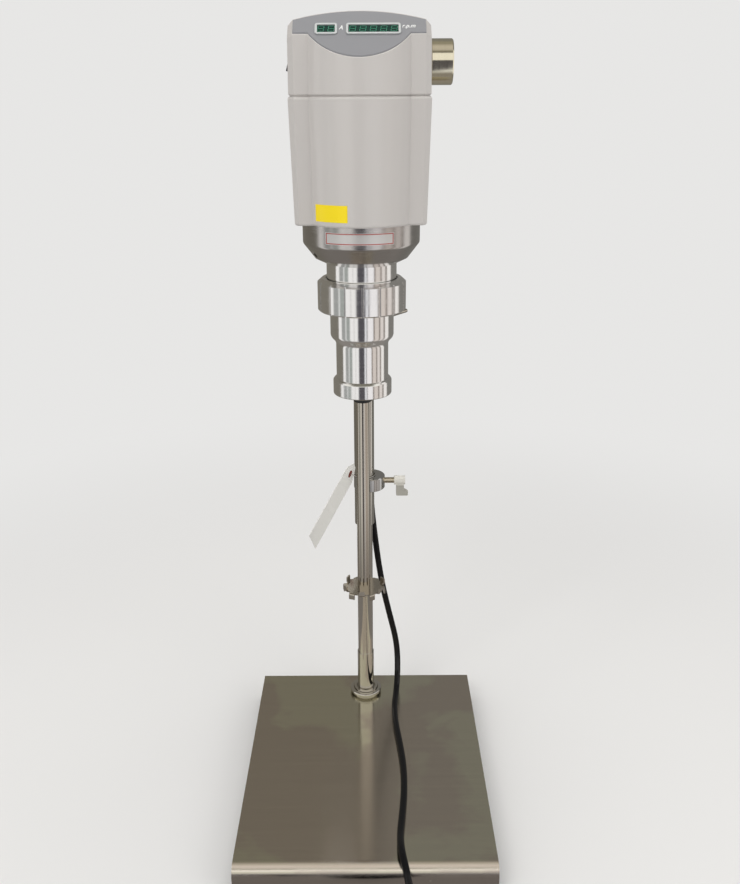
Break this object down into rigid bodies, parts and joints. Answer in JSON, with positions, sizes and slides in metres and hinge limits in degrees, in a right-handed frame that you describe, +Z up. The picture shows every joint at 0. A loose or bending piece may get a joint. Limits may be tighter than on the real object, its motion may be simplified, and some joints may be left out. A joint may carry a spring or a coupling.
{
  "type": "overhead homogenizing disperser",
  "caption": "Bench disperser: motor head with speed display on a two-tube column stand, driving a long shaft with an open toothed mixing disc; height clamp, union nut, mains cord.",
  "frame": {"origin": "centre of the base's footprint, on the bench under its feet", "axes": "+Z up along the column and shaft, -Y to the operator (front of the display), +X to the operator's right"},
  "size_m": [0.25, 0.4395, 0.765],
  "materials": {
    "base_sheet": "brushed stainless with handling smudges",
    "ballast_steel": "black paint",
    "foot_rubber": "matte",
    "zinc_steel": "zinc plated",
    "column_steel": "polished stainless tube",
    "sleeve_steel": "drawn stainless tube",
    "collar_steel": "dull plated",
    "screw_brass": "plated, bright",
    "lever_plastic": "moulded, ivory",
    "cover_plastic": "fine textured warm grey paint",
    "panel_film": "screen printed membrane",
    "display_glass": "dark window over green digits",
    "board": "solder mask",
    "black_plastic": "moulded",
    "knob_metal": "polished",
    "chassis_aluminium": "milled",
    "motor_paint": "black",
    "lamination_steel": "laminated",
    "turned_aluminium": "turned, bead blasted",
    "bright_steel": "ground stainless",
    "seal_rubber": "smooth black",
    "yellow_label": "film label",
    "clear_label": "film label",
    "tag_paper": "uncoated card",
    "tag_fibre": "red fibre",
    "tag_wire": "thin iron wire",
    "cord_rubber": "semi-gloss black",
    "tie_nylon": "woven strap",
    "blade_brass": "bright"
  },
  "bodies": {
    "stand": {"base_cover": "base_sheet", "ballast_plate": "ballast_steel", "base_feet": "foot_rubber", "foot_screws": "zinc_steel", "column_flange": "column_steel", "column_socket": "column_steel", "inner_column": "column_steel", "column_bolt": "zinc_steel", "power_cord": "cord_rubber", "cord_coil": "cord_rubber", "cord_tie": "tie_nylon", "power_plug": "cord_rubber", "plug_blades": "blade_brass"},
    "head": {"outer_sleeve": "sleeve_steel", "clamp_collar": "collar_steel", "lower_cover": "cover_plastic", "upper_cover": "cover_plastic", "display_panel": "panel_film", "current_display": "display_glass", "speed_display": "display_glass", "control_board": "board", "potentiometer": "black_plastic", "switch_body": "black_plastic", "chassis_plate": "chassis_aluminium", "column_bracket": "zinc_steel", "motor_case": "motor_paint", "motor_stator": "lamination_steel", "power_supply": "motor_paint", "drive_flange": "turned_aluminium", "flange_set_screw": "bright_steel", "flange_screws": "zinc_steel", "bearing_housing": "turned_aluminium", "tommy_bar": "bright_steel", "seal_carrier": "turned_aluminium", "shaft_seal": "seal_rubber", "lower_bearing_outer": "bright_steel", "upper_bearing_outer": "bright_steel", "asset_label": "yellow_label", "flange_label": "clear_label", "paper_tag": "tag_paper", "tag_eyelet": "tag_fibre", "tag_wire": "tag_wire", "cord_strain_relief": "cord_rubber", "cover_screws": "zinc_steel"},
    "rotor": {"motor_rotor": "lamination_steel", "cooling_fan": "black_plastic", "coupling_upper": "bright_steel", "coupling_spider": "seal_rubber", "coupling_lower": "bright_steel", "agitator_shaft": "bright_steel", "lower_bearing_inner": "bright_steel", "upper_bearing_inner": "bright_steel", "toothed_disc": "bright_steel", "disc_nut": "bright_steel"},
    "union_nut": {"coupling_nut": "turned_aluminium"},
    "knob": {"speed_knob": "knob_metal"},
    "clamp": {"clamp_screw": "screw_brass", "clamp_lever": "lever_plastic"},
    "switch": {"power_rocker": "black_plastic"}
  },
  "joints": [
    {"name": "head_height", "type": "slide", "parent": "stand", "child": "head", "axis": [0, 0, 1], "range_m": [-0.15, 0.1], "deforming": ["power_cord"]},
    {"name": "shaft_spin", "type": "hinge", "parent": "head", "child": "rotor", "pos_m": [0, -0.028, 0.5], "axis": [0, 0, 1], "continuous": true},
    {"name": "union_nut_turn", "type": "hinge", "parent": "head", "child": "union_nut", "pos_m": [0, -0.028, 0.545], "axis": [0, 0, 1], "range_deg": [-60, 300]},
    {"name": "speed_knob_turn", "type": "hinge", "parent": "head", "child": "knob", "pos_m": [0.06, -0.028, 0.7291], "axis": [1, 0, 0], "range_deg": [0, 300]},
    {"name": "height_clamp_turn", "type": "hinge", "parent": "head", "child": "clamp", "pos_m": [0.03, 0.122, 0.3065], "axis": [1, 0, 0], "range_deg": [-30, 180]},
    {"name": "power_rocker_tilt", "type": "hinge", "parent": "head", "child": "switch", "pos_m": [-0.0507, -0.02, 0.73], "axis": [0, 1, 0], "range_deg": [-16, 0]}
  ]
}
